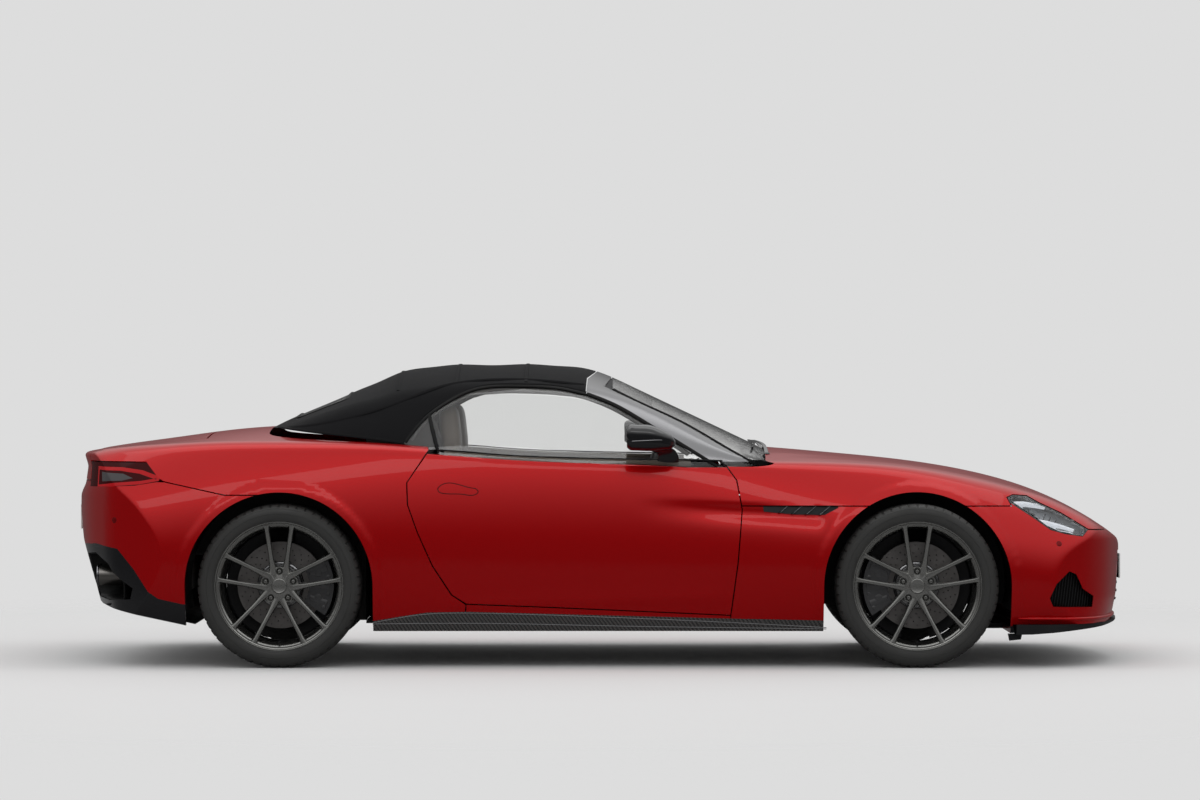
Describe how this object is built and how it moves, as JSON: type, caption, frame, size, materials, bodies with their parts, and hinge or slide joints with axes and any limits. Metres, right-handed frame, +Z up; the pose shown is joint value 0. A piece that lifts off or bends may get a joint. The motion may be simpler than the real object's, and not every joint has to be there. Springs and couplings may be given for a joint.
{
  "type": "convertible car",
  "caption": "Two-plus-two front-engined convertible with its fabric roof raised; doors, bonnet, boot lid, steering and wheels move.",
  "frame": {"origin": "on the ground under the middle of the overall length, on the centre line", "axes": "+X to the nose, +Y to the left side of the car, +Z up"},
  "size_m": [4.74, 2.124, 1.3375],
  "materials": {
    "body_red": "deep metallic red lacquer",
    "gloss_black": "gloss black composite",
    "tyre": "black rubber",
    "wheel_grey": "satin dark bronze grey",
    "disc_steel": "machined face, drilled",
    "suspension_alloy": "cast alloy, dark",
    "clear_glass": "clear with a light grey tint",
    "lamp_glass": "clear lamp cover",
    "lamp_red": "dark red lens",
    "pillar_silver": "satin silver",
    "roof_cloth": "black woven cloth",
    "structure_grey": "dark grey primer",
    "liner_black": "black moulded felt",
    "engine_iron": "cast",
    "exhaust_steel": "dark chromed tips",
    "plate_white": "blank plate",
    "seat_leather": "light beige",
    "dash_leather": "black"
  },
  "bodies": {
    "body": {"dashboard": "dash_leather", "diffuser": "gloss_black", "engine_block": "engine_iron", "exhaust": "exhaust_steel", "floor_pan": "structure_grey", "front_bulkhead": "structure_grey", "front_bumper": "body_red", "front_fenders": "body_red", "front_rails": "structure_grey", "front_seats": "seat_leather", "front_suspension": "suspension_alloy", "grilles": "gloss_black", "headlamps": "lamp_glass", "knuckle_rear_left": "suspension_alloy", "knuckle_rear_right": "suspension_alloy", "number_plates": "plate_white", "rear_bumper": "body_red", "rear_glass": "clear_glass", "rear_quarters": "body_red", "rear_seat": "seat_leather", "rear_structure": "structure_grey", "rear_suspension": "suspension_alloy", "sill_skirts": "gloss_black", "soft_top": "roof_cloth", "splitter": "gloss_black", "steering_wheel": "dash_leather", "tail_lamps": "lamp_red", "tonneau_panel": "body_red", "wheel_liners": "liner_black", "windscreen": "clear_glass", "windscreen_frame": "pillar_silver"},
    "bonnet": {"bonnet": "body_red"},
    "boot_lid": {"boot_lid": "body_red"},
    "wheel_front_left": {"disc_front_left": "disc_steel", "rim_front_left": "wheel_grey", "tyre_front_left": "tyre"},
    "wheel_front_right": {"disc_front_right": "disc_steel", "rim_front_right": "wheel_grey", "tyre_front_right": "tyre"},
    "wheel_rear_left": {"disc_rear_left": "disc_steel", "rim_rear_left": "wheel_grey", "tyre_rear_left": "tyre"},
    "wheel_rear_right": {"disc_rear_right": "disc_steel", "rim_rear_right": "wheel_grey", "tyre_rear_right": "tyre"},
    "door_left": {"door_glass_left": "clear_glass", "door_left": "body_red", "mirror_left": "gloss_black"},
    "door_right": {"door_glass_right": "clear_glass", "door_right": "body_red", "mirror_right": "gloss_black"},
    "steer_left": {"knuckle_front_left": "suspension_alloy"},
    "steer_right": {"knuckle_front_right": "suspension_alloy"}
  },
  "joints": [
    {"name": "door_right_swing", "type": "hinge", "parent": "body", "child": "door_right", "pos_m": [0.6, -0.962, 0.6], "axis": [0, 0, 1], "range_deg": [0, 62]},
    {"name": "door_left_swing", "type": "hinge", "parent": "body", "child": "door_left", "pos_m": [0.6, 0.962, 0.6], "axis": [0, 0, -1], "range_deg": [0, 62]},
    {"name": "bonnet_lift", "type": "hinge", "parent": "body", "child": "bonnet", "pos_m": [2.292, 0, 0.6], "axis": [0, 1, 0], "range_deg": [0, 50]},
    {"name": "boot_lift", "type": "hinge", "parent": "body", "child": "boot_lid", "pos_m": [-1.757, 0, 1.032], "axis": [0, 1, 0], "range_deg": [0, 75]},
    {"name": "steer_left", "type": "hinge", "parent": "body", "child": "steer_left", "pos_m": [1.395, 0.7885, 0.36], "axis": [0, 0, 1], "range_deg": [-33, 33]},
    {"name": "steer_right", "type": "hinge", "parent": "body", "child": "steer_right", "pos_m": [1.395, -0.7885, 0.36], "axis": [0, 0, 1], "range_deg": [-33, 33]},
    {"name": "roll_front_left", "type": "hinge", "parent": "steer_left", "child": "wheel_front_left", "pos_m": [1.395, 0.8285, 0.36], "axis": [0, 1, 0], "continuous": true},
    {"name": "roll_front_right", "type": "hinge", "parent": "steer_right", "child": "wheel_front_right", "pos_m": [1.395, -0.8285, 0.36], "axis": [0, 1, 0], "continuous": true},
    {"name": "roll_rear_left", "type": "hinge", "parent": "body", "child": "wheel_rear_left", "pos_m": [-1.41, 0.8035, 0.36], "axis": [0, 1, 0], "continuous": true},
    {"name": "roll_rear_right", "type": "hinge", "parent": "body", "child": "wheel_rear_right", "pos_m": [-1.41, -0.8035, 0.36], "axis": [0, 1, 0], "continuous": true}
  ],
  "couplings": [
    {"joint": "steer_right", "follows": "steer_left", "ratio": 1}
  ]
}
